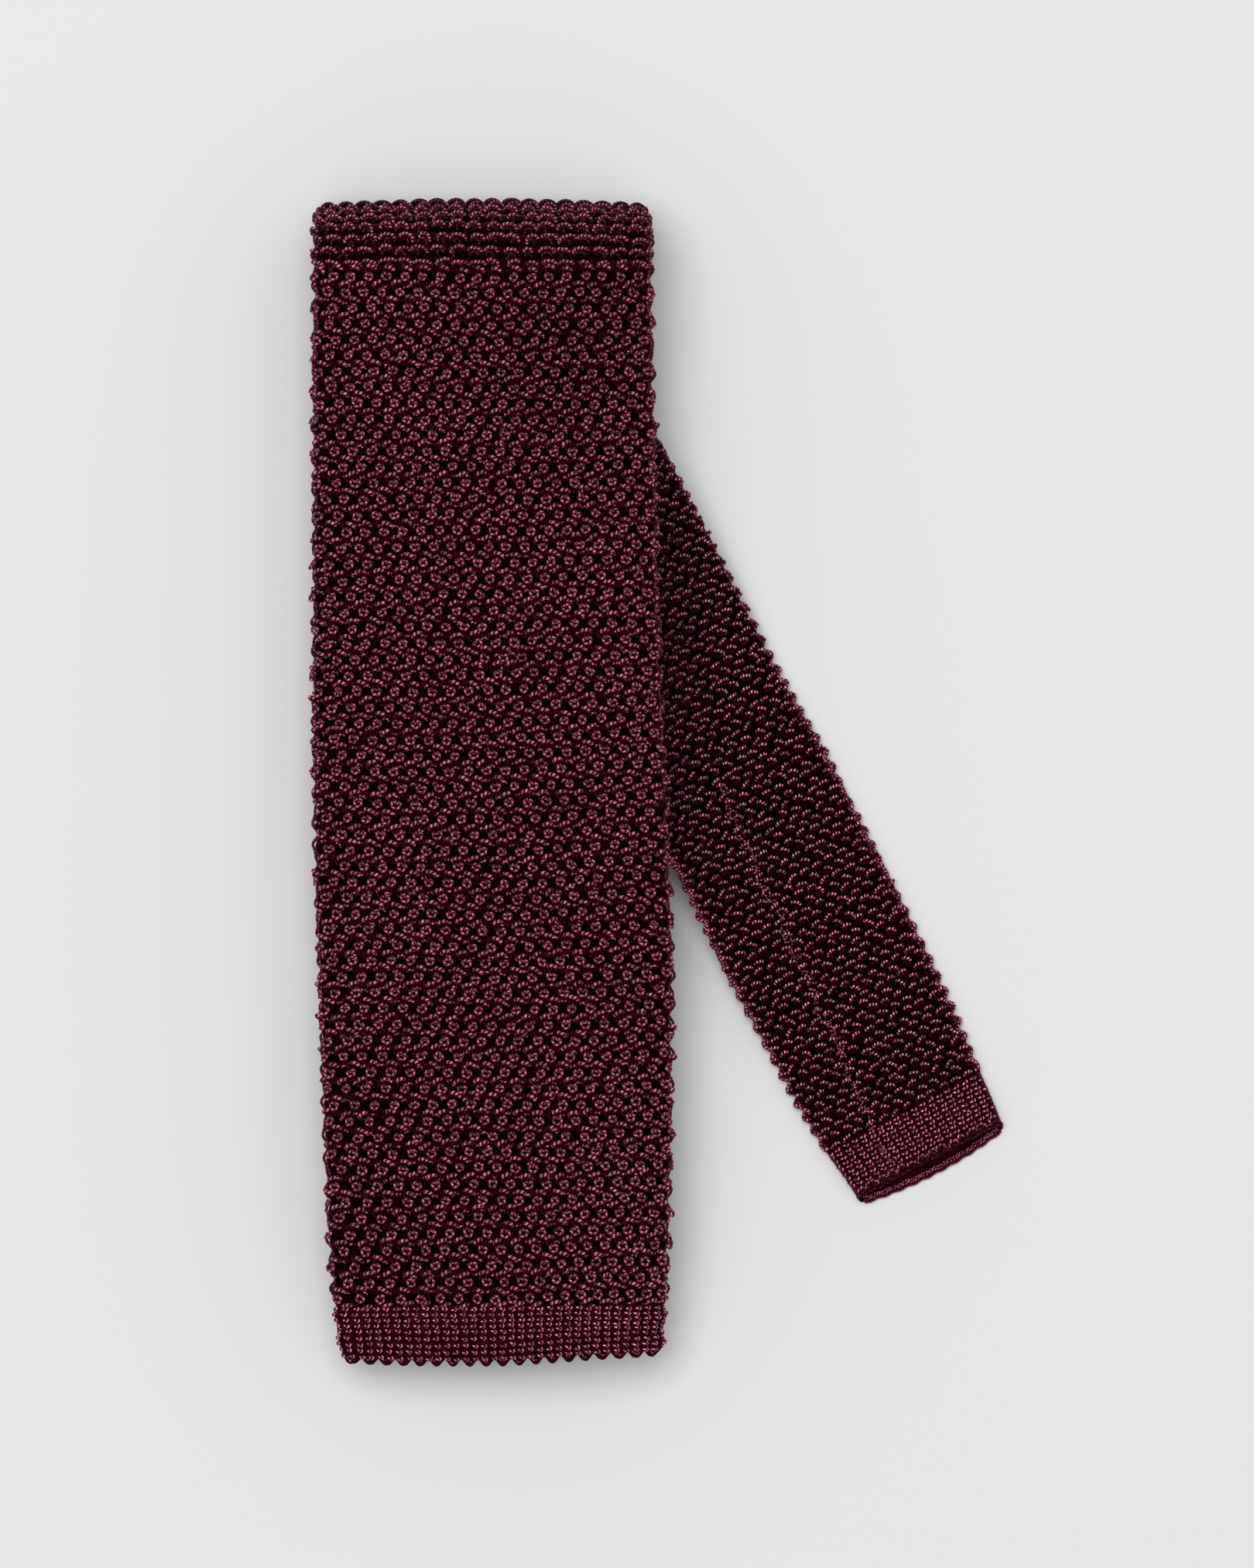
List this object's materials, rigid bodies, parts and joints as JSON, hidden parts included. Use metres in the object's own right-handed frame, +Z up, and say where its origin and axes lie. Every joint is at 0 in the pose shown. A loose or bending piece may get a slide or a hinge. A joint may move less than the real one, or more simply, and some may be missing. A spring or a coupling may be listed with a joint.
{
  "type": "folded knitted necktie",
  "caption": "Square-ended tubular silk knit necktie, folded in a stack with its wide blade on top and its narrow tail turned out below it.",
  "frame": {"origin": "on the resting surface, under the middle of the folded tie's bounding box", "axes": "+Z up from the resting surface, +Y along the blade towards the top fold, +X to the right, the side on which the tail comes out"},
  "size_m": [0.1212, 0.203, 0.0205],
  "materials": {
    "knit": "burgundy silk mesh knit",
    "hem": "burgundy silk close knit"
  },
  "bodies": {
    "root": {"knit_tube": "knit", "blade_hem": "hem", "tail_hem": "hem"}
  },
  "joints": []
}
